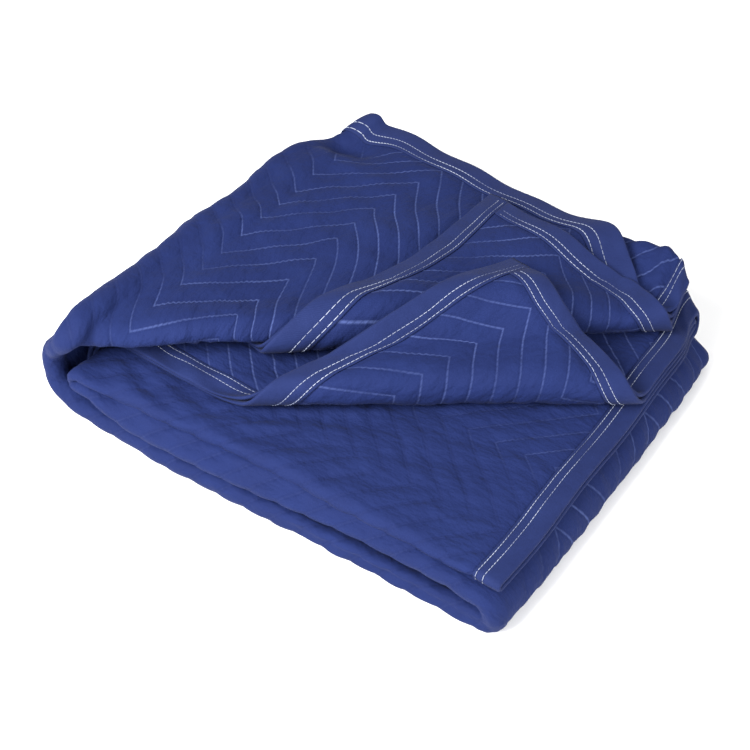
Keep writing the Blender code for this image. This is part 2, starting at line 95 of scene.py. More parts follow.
# Chevron quilting: the rows follow s, and each row zigzags across t
ROW_PITCH = 0.032
CHEVRON_SPAN = 0.094
CHEVRON_START = 0.073


def lay_along(rows, start, heading, distance, offset):
    """Points at `distance` along a path of rows (length, turn), each a straight or an arc that turns left,
    moved `offset` to the left of the path. The first and last rows run on past their ends."""
    zero = np.zeros_like(distance)
    x, y, heading, left = start[0] + zero, start[1] + zero, heading + zero, distance + zero
    for number, (length, turn) in enumerate(rows):
        part = np.clip(
            left,
            -np.inf if number == 0 else 0.0,
            np.inf if number == len(rows) - 1 else length,
        )
        left = left - part
        if turn == 0.0:
            x = x + part * np.cos(heading)
            y = y + part * np.sin(heading)
            continue
        radius = length / turn
        after = heading + part / radius
        x = x + radius * (np.sin(after) - np.sin(heading))
        y = y - radius * (np.cos(after) - np.cos(heading))
        heading = after
    return x - offset * np.sin(heading), y + offset * np.cos(heading)


def arc(radius, degrees):
    """Row of a path: an arc that turns left by so many degrees, or right if they are negative."""
    turn = math.radians(degrees)
    return radius * abs(turn), turn


def smooth(value, low, high):
    """0 below low, 1 above high, and an S-shaped rise between."""
    part = np.clip((value - low) / (high - low), 0.0, 1.0)
    return part * part * (3.0 - 2.0 * part)


# Long fold: four levels of the strip, joined by an inner turn, a turn on the right, and an outer turn
LEFT_X = -STACK_X + 2.0 * STRIP
RIGHT_X = -STRIP
FLAT = RIGHT_X - LEFT_X
LEVEL_1 = -HEM_X - LEFT_X
TURN_IN = 0.5 * STRIP * math.pi
TURN_OUT = 1.5 * STRIP * math.pi
S_2 = LEVEL_1 + TURN_IN
S_3 = S_2 + FLAT + TURN_IN
S_4 = S_3 + FLAT + TURN_OUT
LONG_ROWS = [
    (LEVEL_1, 0.0), arc(0.5 * STRIP, 180),
    (FLAT, 0.0), arc(0.5 * STRIP, -180),
    (FLAT, 0.0), arc(1.5 * STRIP, -180),
    (LENGTH - S_4, 0.0),
]

# Cross fold: hem, layer, inner turn at the back, layer, roll at the front, layer, outer turn, layer, hem
TURN_Y = STACK_Y - HALF_THICK - 1.5 * LAYER
INNER_TURN = 0.5 * LAYER * math.pi
OUTER_TURN = 1.5 * LAYER * math.pi
ROLL_T = 0.5 * (WIDTH + INNER_TURN - OUTER_TURN)


def roll_rows(radius, neck, rise, flare_in, flare_out):
    """Front roll between two layers as rows of a path, with how far in front of each layer's end it reaches.
    `rise` is how far the roll stands above the first layer; the flares are the slopes of its two necks."""
    a, c = math.radians(flare_in), math.radians(flare_out)
    slope_in = (rise - (neck + radius) * (1 - math.cos(a))) / math.sin(a) if a else 0.0
    drop = rise - radius + LAYER - radius * math.cos(c) - math.copysign(neck, c) * (1 - math.cos(c))
    slope_out = drop / math.sin(c) if c else 0.0
    rows = []
    if a:
        rows += [arc(neck, -flare_in), (slope_in, 0.0)]
    rows.append(arc(radius, 180 + flare_in - flare_out))
    if c:
        rows += [(slope_out, 0.0), arc(neck, flare_out)]
    reach_in = neck * math.sin(a) + slope_in * math.cos(a) + radius * (1 + math.sin(a))
    reach_out = radius * (1 - math.sin(c)) + slope_out * math.cos(c) + neck * abs(math.sin(c))
    return rows, reach_in, reach_out


ROLLS = {
    "plain": roll_rows(0.5 * LAYER, 0.0, 0.0, 0, 0),
    "full_below": roll_rows(0.0085, 0.012, 0.0, 0, -48),
    "sagging": roll_rows(0.0069, 0.008, 0.0165, 42, 35),
    "full_above": roll_rows(0.0085, 0.012, 0.0104, 48, 0),
}

# Which roll the strip has along s: (s, weights of the rolls in the order above, front edge's y, and how far
# the turns at the back stand out)
LOOSENS, LOOSE = 0.030, 0.110
SKEW_STARTS = S_3 + 0.340
SKEW_ENDS = S_4 - 0.4 * TURN_OUT
ROLL_STATIONS = [
    (0.0, (1.0, 0.0, 0.0, 0.0), 0.0045, 0.0110),
    (LOOSENS, (1.0, 0.0, 0.0, 0.0), 0.0045, 0.0110),
    (LOOSE, (0.0, 1.0, 0.0, 0.0), 0.0045, 0.0110),
    (LEVEL_1 - 0.060, (0.0, 1.0, 0.0, 0.0), 0.0045, 0.0110),
    (LEVEL_1, (1.0, 0.0, 0.0, 0.0), 0.0045, 0.0110),
    (S_2, (1.0, 0.0, 0.0, 0.0), 0.0045, 0.0),
    (S_2 + 0.060, (0.0, 0.0, 1.0, 0.0), -0.0100, 0.0),
    (S_2 + FLAT - LOOSE, (0.0, 0.0, 1.0, 0.0), -0.0120, 0.0),
    (S_2 + FLAT - LOOSENS, (0.0, 0.0, 0.0, 1.0), -0.0120, 0.0),
    (S_3, (0.0, 0.0, 0.0, 1.0), -0.0190, 0.0),
    (SKEW_STARTS, (0.0, 0.0, 0.0, 1.0), -0.0190, 0.0),
    (SKEW_ENDS, (0.0, 0.0, 0.0, 1.0), 0.0025, 0.0420),
    (S_4 + 0.12, (0.0, 0.0, 0.0, 1.0), -0.0550, 0.0190),
    (S_4 + 0.26, (0.0, 0.0, 0.0, 1.0), -0.0960, 0.0000),
    (S_4 + 0.39, (0.0, 0.0, 0.0, 1.0), -0.1210, -0.0150),
    (LENGTH, (0.0, 0.0, 0.0, 1.0), -0.1125, -0.0200),
]


def roll_excess(name):
    """How much longer a roll's path is than the reach of its two sides."""
    rows, reach_in, reach_out = ROLLS[name]
    return sum(row[0] for row in rows) - reach_in - reach_out


def through(s, at, values):
    """Smooth curve through the stations: a cubic between each two, with the slope of its neighbours' chord
    at each, so that the rolls swell and thin with no kink."""
    at, values = np.array(at), np.array(values)
    slope = np.gradient(values, at)
    k = np.clip(np.searchsorted(at, s, side="right") - 1, 0, len(at) - 2)
    length = at[k + 1] - at[k]
    part = np.clip((s - at[k]) / length, 0.0, 1.0)
    rise = values[k + 1] - values[k]
    start, end = slope[k] * length, slope[k + 1] * length
    return values[k] + part * (start + part * (3 * rise - 2 * start - end + part * (start + end - 2 * rise)))


def roll_at(s):
    """Weight of every roll at s, where the turns at the back meet the two middle layers, and their y."""
    at = np.array([row[0] for row in ROLL_STATIONS])
    k = np.clip(np.searchsorted(at, s, side="right") - 1, 0, len(at) - 2)
    ease = smooth(s, at[k], at[k + 1])
    share = np.array([row[1] for row in ROLL_STATIONS])
    weights = list(np.moveaxis(share[k] + (share[k + 1] - share[k]) * ease[..., None], -1, 0))
    front = through(s, at, [row[2] for row in ROLL_STATIONS])
    back = TURN_Y + through(s, at, [row[3] for row in ROLL_STATIONS])
    half = back - front + 0.5 * roll_excess("full_above")
    return weights, ROLL_T - half, ROLL_T + half, back


def cross_fold(s, t, offset):
    """(s, t) and an offset from the middle of the cloth to y and the height h in the strip of four layers."""
    weights, low, high, back = roll_at(s)
    first = low - INNER_TURN
    last = WIDTH - high - OUTER_TURN
    y = np.zeros_like(s)
    h = np.zeros_like(s)
    for weight, (rows, reach_in, reach_out) in zip(weights, ROLLS.values()):
        if not np.any(weight > 0.0):
            continue
        spare = high - low - sum(row[0] for row in rows)
        layer_2 = 0.5 * (spare + reach_out - reach_in)
        layer_3 = 0.5 * (spare + reach_in - reach_out)
        path = [
            (first, 0.0), arc(0.5 * LAYER, -180), (layer_2, 0.0),
            *rows,
            (layer_3, 0.0), arc(1.5 * LAYER, 180), (last, 0.0),
        ]
        at = lay_along(path, (back - first, 2.5 * LAYER), 0.0, t, offset)
        y = y + weight * at[0]
        h = h + weight * at[1]
    return y, h


# Turned corners: the line that each turns about, as a point and its direction, with the layers it takes
CREASE_1 = (-0.4905, 0.0315)
CREASE_1_ANGLE = math.radians(38.6)
TURN_1 = 0.0162
CREASE_2_ANGLE = math.radians(34.6)
CREASE_2_AHEAD = 0.0740
TURN_2 = 0.0175
RISE = 50
WRAP = 0.0375
FOOT = 0.015
RISE_SLOPE = 0.0284
RISE_REACH = (FOOT + WRAP) * math.sin(math.radians(RISE)) + RISE_SLOPE * math.cos(math.radians(RISE))
PIVOT = 0.200

# Sag behind each turn: it dips by so many degrees, the upper corner over a length and the lower to its tip
SAG_1 = 10
SAG_RADIUS = 0.030
SAG_LENGTH = 0.0236
SAG_2 = 6

# How far the two middle layers of the upper corner fan out past the outer two
FAN_LEFT = 0.012
FAN_RIGHT = 0.040
FAN_END = 0.130
FAN_GROWS = (0.15, 0.50)

# The turned corners start this far along the cloth
CORNER_STARTS = S_4 - 0.5 * TURN_OUT
CORNER_BENDS_START = S_4 - 0.40 * TURN_OUT


def across_crease(x, y, point, angle):
    """Distances of (x, y) in front of a crease and along it."""
    dx, dy = x - point[0], y - point[1]
    return dx * math.sin(angle) - dy * math.cos(angle), dx * math.cos(angle) + dy * math.sin(angle)


def off_crease(front, along, point, angle):
    """The point that lies so far in front of a crease and along it."""
    return (
        point[0] + front * math.sin(angle) + along * math.cos(angle),
        point[1] - front * math.cos(angle) + along * math.sin(angle),
    )


CREASE_2 = off_crease(CREASE_2_AHEAD, PIVOT, CREASE_1, CREASE_1_ANGLE)


def crease_gap(along):
    """Distance between the two creases at a place along the second."""
    x, y = off_crease(0.0, along, CREASE_2, CREASE_2_ANGLE)
    return across_crease(x, y, CREASE_1, CREASE_1_ANGLE)[0]


def turn_back(s, t, y, h):
    """Lifts the corners: all four layers of the top level, and the two upper layers of level 1."""
    _, low, high, _ = roll_at(s)
    first = low - INNER_TURN
    last = high + OUTER_TURN

    x = LEFT_X + (s - S_4)
    front, along = across_crease(x, y, CREASE_1, CREASE_1_ANGLE)
    path = [
        (0.0, 0.0), arc(TURN_1, 180),
        arc(SAG_RADIUS, SAG_1), (SAG_LENGTH, 0.0), arc(SAG_RADIUS, -SAG_1), (1.0, 0.0),
    ]
    new_front, up = lay_along(path, (0.0, 0.0), 0.0, front, 0.5 * STRIP - h)
    x_new, y_new = off_crease(new_front, along, CREASE_1, CREASE_1_ANGLE)
    fan = (FAN_LEFT + FAN_RIGHT * smooth(along, *FAN_GROWS)) * smooth(front, TURN_1 * math.pi, FAN_END)
    y_new = y_new + np.where((t > first) & (t < last), fan, 0.0)
    top = (s > CORNER_STARTS) & (front > 0.0)
    s_out = np.where(top, x_new - LEFT_X + S_4, s)
    y_out = np.where(top, y_new, y)
    h_out = np.where(top, 0.5 * STRIP - up, h)

    x = -HEM_X - s
    front, along = across_crease(x, y, CREASE_2, CREASE_2_ANGLE)
    path = [
        (0.0, 0.0), arc(TURN_2, 180), (crease_gap(along) - RISE_REACH, 0.0),
        arc(FOOT, -RISE), (RISE_SLOPE, 0.0), arc(WRAP, RISE),
        arc(SAG_RADIUS, SAG_2), (1.0, 0.0),
    ]
    new_front, up = lay_along(path, (0.0, 0.0), 0.0, front, h - 3.0 * LAYER)
    x_new, y_new = off_crease(new_front, along, CREASE_2, CREASE_2_ANGLE)
    corner = (s < LEVEL_1) & (front > 0.0) & ((t < first) | (t > last))
    s_out = np.where(corner, -HEM_X - x_new, s_out)
    y_out = np.where(corner, y_new, y_out)
    h_out = np.where(corner, 3.0 * LAYER + up, h_out)
    return s_out, y_out, h_out


def long_fold(s, h):
    """s along the strip and the height h in it to x and z."""
    return lay_along(LONG_ROWS, (-HEM_X, 2.5 * STRIP), math.pi, s, 0.5 * STRIP - h)


# Unevenness of the stack: (shift x, y, z at full height, waves along x and y, phase)
STACK_HEIGHT = 4 * STRIP
WAVES = [
    (0.0035, 0.0000, 0.0016, 3.1, 6.0, 0.4),
    (0.0000, 0.0040, -0.0014, 7.0, 2.6, 1.7),
    (0.0020, -0.0020, 0.0012, 5.0, 4.3, 2.9),
    (0.0010, -0.0014, 0.0013, 31.0, 17.0, 0.3),
    (-0.0012, 0.0010, 0.0012, -19.0, 36.0, 2.1),
    (0.0006, 0.0008, 0.0007, 62.0, -41.0, 4.0),
]
FLOOR = 0.5 * LAYER - HALF_THICK

# Slumps of the loose stack: (centre, reach in each direction, push), each fading as a bell round its centre
SLUMPS = [
    ((-0.260, -0.230, 0.085), (0.080, 0.090, 0.060), (-0.015, -0.003, 0.002)),
    ((-0.250, -0.250, 0.010), (0.110, 0.080, 0.050), (-0.021, -0.014, 0.000)),
    ((-0.270, 0.020, 0.070), (0.070, 0.220, 0.060), (-0.008, 0.000, 0.000)),
    ((-0.225, 0.140, 0.130), (0.060, 0.050, 0.050), (-0.007, 0.002, 0.004)),
    ((-0.215, 0.216, 0.130), (0.050, 0.028, 0.050), (0.004, -0.002, -0.021)),
    ((-0.198, -0.030, 0.135), (0.014, 0.160, 0.022), (0.000, 0.000, -0.0035)),
    ((-0.185, 0.265, 0.122), (0.055, 0.030, 0.035), (0.004, 0.002, 0.007)),
    ((-0.150, -0.215, 0.118), (0.100, 0.055, 0.035), (0.000, -0.012, -0.010)),
    ((-0.055, -0.105, 0.112), (0.095, 0.090, 0.032), (-0.014, -0.024, -0.006)),
    ((0.204, 0.225, 0.112), (0.080, 0.050, 0.045), (0.006, 0.018, 0.029)),
    ((0.252, 0.215, 0.095), (0.034, 0.050, 0.036), (-0.008, -0.007, -0.002)),
    ((0.185, 0.140, 0.138), (0.055, 0.060, 0.032), (0.004, 0.000, -0.022)),
    ((0.163, 0.049, 0.122), (0.030, 0.030, 0.030), (0.000, 0.000, 0.009)),
    ((0.228, 0.030, 0.112), (0.030, 0.040, 0.025), (0.003, 0.000, -0.007)),
    ((0.285, 0.235, 0.065), (0.060, 0.060, 0.045), (-0.010, -0.032, -0.012)),
    ((0.280, 0.000, 0.000), (0.080, 0.430, 0.045), (0.017, 0.000, 0.000)),
    ((0.120, -0.250, 0.010), (0.200, 0.070, 0.035), (0.000, 0.015, 0.000)),
    ((0.150, -0.258, 0.012), (0.120, 0.040, 0.006), (0.000, 0.007, 0.000)),
]

# Wrinkles: (centre, reach, height, direction in degrees, wave length)
WRINKLES = [
    ((-0.020, -0.160, 0.075), (0.150, 0.070, 0.030), 0.0017, 118.0, 0.034),
    ((0.120, -0.130, 0.075), (0.120, 0.080, 0.030), 0.0010, 101.0, 0.047),
    ((-0.150, -0.210, 0.070), (0.080, 0.050, 0.040), 0.0016, 70.0, 0.030),
    ((0.225, 0.205, 0.120), (0.050, 0.050, 0.040), 0.0036, 30.0, 0.027),
    ((0.060, 0.000, 0.140), (0.140, 0.090, 0.040), 0.0012, 15.0, 0.060),
    ((-0.120, 0.080, 0.140), (0.120, 0.140, 0.050), 0.0014, 75.0, 0.052),
]


def bell(x, y, z, centre, reach):
    """1 at the centre, fading to nothing with the square of the distance in reaches."""
    far = sum(((at - middle) / size) ** 2 for at, middle, size in zip((x, y, z), centre, reach))
    return np.exp(-far)


def settle(x, y, z):
    """Moves the stack over the origin and onto the floor, sways it in waves that grow with the height,
    slumps it where it is loose, wrinkles it, and flattens what lies on the floor."""
    z = z - FLOOR
    lean = z / STACK_HEIGHT
    dx, dy, dz = 0.0 * x, 0.0 * x, 0.0 * x
    for shift_x, shift_y, lift, wave_x, wave_y, phase in WAVES:
        wave = np.sin(wave_x * x + wave_y * y + phase) * lean
        dx = dx + shift_x * wave
        dy = dy + shift_y * wave
        dz = dz + lift * wave
    x, y, z = x + dx + 0.5 * STACK_X, y + dy - 0.5 * STACK_Y, z + dz
    raised = smooth(z, 0.0, 0.040)
    dx, dy, dz = 0.0 * x, 0.0 * x, 0.0 * x
    for centre, reach, push in SLUMPS:
        share = bell(x, y, z, centre, reach)
        dx, dy, dz = dx + push[0] * share, dy + push[1] * share, dz + push[2] * share * raised
    for centre, reach, height, degrees, length in WRINKLES:
        across = x * math.cos(math.radians(degrees)) + y * math.sin(math.radians(degrees))
        bent = across + 0.006 * np.sin(31.0 * x - 27.0 * y)
        dz = dz + height * np.sin(2.0 * math.pi * bent / length) * bell(x, y, z, centre, reach)
    return x + dx, y + dy, np.maximum(z + dz, 0.0)


def fold(s, t, offset):
    """Every point of the flat cloth, with its offset from the middle of the thickness, to its place."""
    s, t, offset = (np.asarray(a, float) for a in (s, t, offset))
    y, h = cross_fold(s, t, offset)
    s, y, h = turn_back(s, t, y, h)
    x, z = long_fold(s, h)
    return np.stack(settle(x, y, z), axis=1)


def zigzag(t):
    """Shift along s of a quilting row at t."""
    part = np.mod(t - CHEVRON_START, 2.0 * CHEVRON_SPAN)
    return np.minimum(part, 2.0 * CHEVRON_SPAN - part)


def hem_distance(s, t):
    """Distance from the nearest edge of the cloth."""
    return np.minimum(np.minimum(s, LENGTH - s), np.minimum(t, WIDTH - t))


def half_thickness(s, t):
    """Half the cloth's thickness: pressed thin in the band under the tape, full past a soft ramp."""
    full = smooth(hem_distance(s, t), HEM_BAND - 0.001, HEM_BAND + HEM_RAMP)
    return HALF_THICK_PRESSED + (HALF_THICK - HALF_THICK_PRESSED) * full


# Puffs between the quilting rows: how far they rise over the face and how deep the rows lie under it
PUFF_CREST = 0.0006
PUFF_VALLEY = 0.0012


def puff(s, t):
    """Height of a face over its mean: a sharp valley along every stitched row and a round puff between, as
    the square root of a half sine, less where the rows turn; it fades out towards the hem."""
    row = np.mod((s - zigzag(t)) / ROW_PITCH, 1.0)
    round_top = np.sqrt(np.sin(math.pi * row))
    part = np.mod(t - CHEVRON_START, CHEVRON_SPAN) / CHEVRON_SPAN
    at_turn = 1.0 - 0.25 * np.exp(-((np.minimum(part, 1.0 - part) * CHEVRON_SPAN / 0.006) ** 2))
    uneven = 1.0 + 0.35 * np.sin(61.0 * s + 17.0 * t) * np.sin(43.0 * t - 29.0 * s + 1.0)
    uneven = uneven + 0.28 * np.sin(210.0 * t + 3.0 * np.sin(31.0 * s))
    inside = smooth(hem_distance(s, t), HEM_BAND, HEM_BAND + 0.014)
    return inside * uneven * at_turn * (PUFF_CREST + PUFF_VALLEY) * round_top - inside * PUFF_VALLEY


# Mesh of the cloth: a step along the hems, parts of a row and of a chevron's arm, the lines along the front
# roll and the margin round the turns at the back, and how much coarser it is where it is hidden
STEP = 0.0047
ROW_PARTS = 7
ARM_PARTS = 20
ROLL_BAND = 0.046
ROLL_STEP = 0.0028
TURN_MARGIN = 0.002
COARSE = 3


def visible(s, t):
    """True where the face of the cloth shows, with a margin of 10 to 30 mm: the front panel, the turned
    corners, the top with its turn on the left, and the turn on the right."""
    y, _ = cross_fold(s, t, np.zeros_like(s))
    _, low, high, _ = roll_at(s)
    first, last = low - INNER_TURN, high + OUTER_TURN
    front_2, _ = across_crease(-HEM_X - s, y, CREASE_2, CREASE_2_ANGLE)
    front_1, _ = across_crease(LEFT_X + s - S_4, y, CREASE_1, CREASE_1_ANGLE)
    layer_2 = (t > low) & (t < ROLL_T)
    layer_3 = (t >= ROLL_T) & (t < high)
    panel = (s < LEVEL_1) & layer_2 & (front_2 > -0.02)
    lower_corner = (s < LEVEL_1) & (t < first) & (front_2 > -0.01)
    upper_corner = (s > S_4) & (front_1 > -0.01) & ((t > last) | (layer_2 & (front_1 > 0.02)))
    top = (s > S_4 - TURN_OUT - 0.01) & layer_3 & (front_1 < 0.03)
    right = (s > S_3 - TURN_IN - 0.01) & (s < S_3 + 0.01) & layer_3
    return panel | lower_corner | upper_corner | top | right


def in_band(s, t):
    """True near the front roll and the turns at the back, which have lines of points of their own."""
    _, low, high, _ = roll_at(s)
    inner = (t > low - INNER_TURN - TURN_MARGIN) & (t < low + TURN_MARGIN)
    outer = (t > high - TURN_MARGIN) & (t < high + OUTER_TURN + TURN_MARGIN)
    return (np.abs(t - ROLL_T) < ROLL_BAND) | inner | outer


def flat_points(fine):
    """Points of the flat cloth in rows that follow the chevrons: every one where `fine` is set and the face
    shows, and one in so many elsewhere."""
    row_step = ROW_PITCH / ROW_PARTS
    arm_step = CHEVRON_SPAN / ARM_PARTS
    u = row_step * np.arange(-int(CHEVRON_SPAN / row_step) - 1, int(LENGTH / row_step))
    t = CHEVRON_START + arm_step * np.arange(-int(CHEVRON_START / arm_step) - 1, int(WIDTH / arm_step))
    t = t[(t > 0.0) & (t < WIDTH)]
    grid_u, grid_t = np.meshgrid(u, t, indexing="ij")
    grid_s = grid_u + zigzag(grid_t)
    number_u, number_t = np.meshgrid(np.arange(len(u)), np.arange(len(t)), indexing="ij")
    coarse = (number_u % COARSE == 0) & (number_t % COARSE == 0)
    s, t = grid_s.ravel(), grid_t.ravel()
    keep = coarse.ravel() | (fine & visible(s, t))
    keep &= (hem_distance(s, t) > HEM_BAND + 0.001) & ~in_band(s, t)
    return np.stack([s[keep], t[keep]], axis=1)


def band_points(step, line_step):
    """Points on lines along the front roll and the turns at the back."""
    s = np.arange(step, LENGTH - 0.5 * step, step)
    _, low, high, _ = roll_at(s)
    lines = [0.0 * s + ROLL_T + shift for shift in np.arange(-ROLL_BAND, ROLL_BAND + 1e-6, line_step)]
    lines += [low - INNER_TURN * k / 6 for k in range(7)]
    lines += [high + OUTER_TURN * k / 10 for k in range(11)]
    return np.concatenate([np.stack([s, line], axis=1) for line in lines])


def hem_points(step):
    """Points on the edge and on four lines inside it, in the thin band under the tape."""
    found = []
    for inset in (0.0, 0.5 * HEM_BAND, HEM_BAND - 0.001, HEM_BAND + 0.5 * HEM_RAMP, HEM_BAND + HEM_RAMP):
        s = np.linspace(inset, LENGTH - inset, int(LENGTH / step))
        t = np.linspace(inset, WIDTH - inset, int(WIDTH / step))[1:-1]
        found += [np.stack([s, 0.0 * s + side], axis=1) for side in (inset, WIDTH - inset)]
        found += [np.stack([0.0 * t + side, t], axis=1) for side in (inset, LENGTH - inset)]
    return np.concatenate(found)


def triangulate(flat):
    """Triangles between points of the flat cloth, all the same way round."""
    found, _, faces, *_ = delaunay_2d_cdt(list(map(Vector, flat.tolist())), [], [], 0, 1e-6)
    flat = np.array(found)
    faces = np.array(faces)
    a, b, c = (flat[faces[:, k]] for k in range(3))
    area = (b[:, 0] - a[:, 0]) * (c[:, 1] - a[:, 1]) - (b[:, 1] - a[:, 1]) * (c[:, 0] - a[:, 0])
    faces = faces[np.abs(area) > 1e-11]
    area = area[np.abs(area) > 1e-11]
    faces[area < 0.0] = faces[area < 0.0][:, ::-1]
    return flat, faces


def border(flat):
    """Numbers of the points on the cloth's edge, in order round it."""
    s, t = flat[:, 0], flat[:, 1]
    near = 1e-5
    at = np.full(len(flat), -1.0)
    at = np.where(t < near, s, at)
    at = np.where(s > LENGTH - near, LENGTH + t, at)
    at = np.where(t > WIDTH - near, 2 * LENGTH + WIDTH - s, at)
    at = np.where((s < near) & (t > near), 2 * LENGTH + 2 * WIDTH - t, at)
    number = np.flatnonzero(at >= 0.0)
    return number[np.argsort(at[number])]


def add_piece(name, points, flat, *faces):
    """A smooth mesh object from arrays, with a UV map that holds each point's place in the flat cloth."""
    mesh = bpy.data.meshes.new(name)
    mesh.from_pydata(points.tolist(), [], [face for rows in faces for face in rows.tolist()])
    corners = np.empty(len(mesh.loops), int)
    mesh.loops.foreach_get("vertex_index", corners)
    uv = mesh.uv_layers.new(name="flat")
    uv.data.foreach_set("uv", flat[corners].ravel())
    mesh.shade_smooth()
    piece = bpy.data.objects.new(name, mesh)
    bpy.context.collection.objects.link(piece)
    return piece


def closed_cloth():
    """The two faces of the cloth, each triangulated flat and folded, and the cut edge between them."""
    face_lines, back_lines = band_points(STEP, ROLL_STEP), band_points(2 * STEP, 2 * ROLL_STEP)
    face, face_rows = triangulate(np.concatenate([flat_points(True), face_lines, hem_points(STEP)]))
    back, back_rows = triangulate(np.concatenate([flat_points(False), back_lines, hem_points(STEP)]))
    s, t = face.T
    face_points = fold(s, t, -half_thickness(s, t) - puff(s, t))
    s, t = back.T
    back_points = fold(s, t, half_thickness(s, t))
    ring_face, ring_back = border(face), border(back) + len(face)
    a, b = ring_face, np.roll(ring_face, -1)
    d, c = ring_back, np.roll(ring_back, -1)
    rim = np.concatenate([np.stack([c, b, a], axis=1), np.stack([d, c, a], axis=1)])
    rows = np.concatenate([face_rows, back_rows[:, ::-1] + len(face), rim])
    return np.concatenate([face_points, back_points]), rows, np.concatenate([face, back])


class Nodes:
    """A material's nodes, made one after another and joined by their sockets."""

    def __init__(self, name):
        self.material = bpy.data.materials.new(name)
        self.material.use_nodes = True
        self.tree = self.material.node_tree
        self.shader = self.tree.nodes["Principled BSDF"]

    def add(self, kind, inputs=None, **settings):
        """A node with its settings, and its inputs given as values or as sockets to join."""
        node = self.tree.nodes.new(kind)
        for key, value in settings.items():
            setattr(node, key, value)
        for key, value in (inputs or {}).items():
            self.join(value, node.inputs[key])
        return node

    def join(self, value, socket):
        """Joins a socket to another, or sets its value."""
        if isinstance(value, bpy.types.NodeSocket):
            self.tree.links.new(value, socket)
        else:
            socket.default_value = value

    def math(self, operation, *values):
        """A Math node's result."""
        node = self.tree.nodes.new("ShaderNodeMath")
        node.operation = operation
        for number, value in enumerate(values):
            self.join(value, node.inputs[number])
        return node.outputs[0]

    def blend(self, factor, first, second):
        """Colour between two colours."""
        node = self.tree.nodes.new("ShaderNodeMix")
        node.data_type = "RGBA"
        self.join(factor, node.inputs[0])
        self.join(first, node.inputs[6])
        self.join(second, node.inputs[7])
        return node.outputs[2]

    def noise(self, at, scale, detail=2.0):
        """Noise from 0 to 1."""
        found = self.add("ShaderNodeTexNoise", {"Vector": at, "Scale": scale, "Detail": detail})
        return found.outputs[0]

    def falloff(self, distance, reach):
        """1 at no distance, falling evenly to 0 at the reach."""
        return self.math("SUBTRACT", 1.0, self.math("MINIMUM", self.math("DIVIDE", distance, reach), 1.0))

    def ramp(self, value, low, high, least=0.0):
        """Rises evenly from `least` at low to 1 at high."""
        inputs = {"Value": value, "From Min": low, "From Max": high, "To Min": least}
        return self.add("ShaderNodeMapRange", inputs).outputs[0]

    def bump(self, height, strength):
        """Joins a height in metres to the shader's normal."""
        found = self.add("ShaderNodeBump", {"Height": height, "Strength": strength, "Distance": 1.0})
        self.join(found.outputs[0], self.shader.inputs["Normal"])


# Quilting thread in the face: half its width, half the width of cloth that it pulls in and that also carries
# a painted shade, and its stitches.
# The weave's threads lie this far apart.
THREAD_REACH = 0.0019
PULL_AND_SHADE_REACH = 0.0045
QUILT_STITCH = 0.0042
WEAVE_PITCH = 0.0016


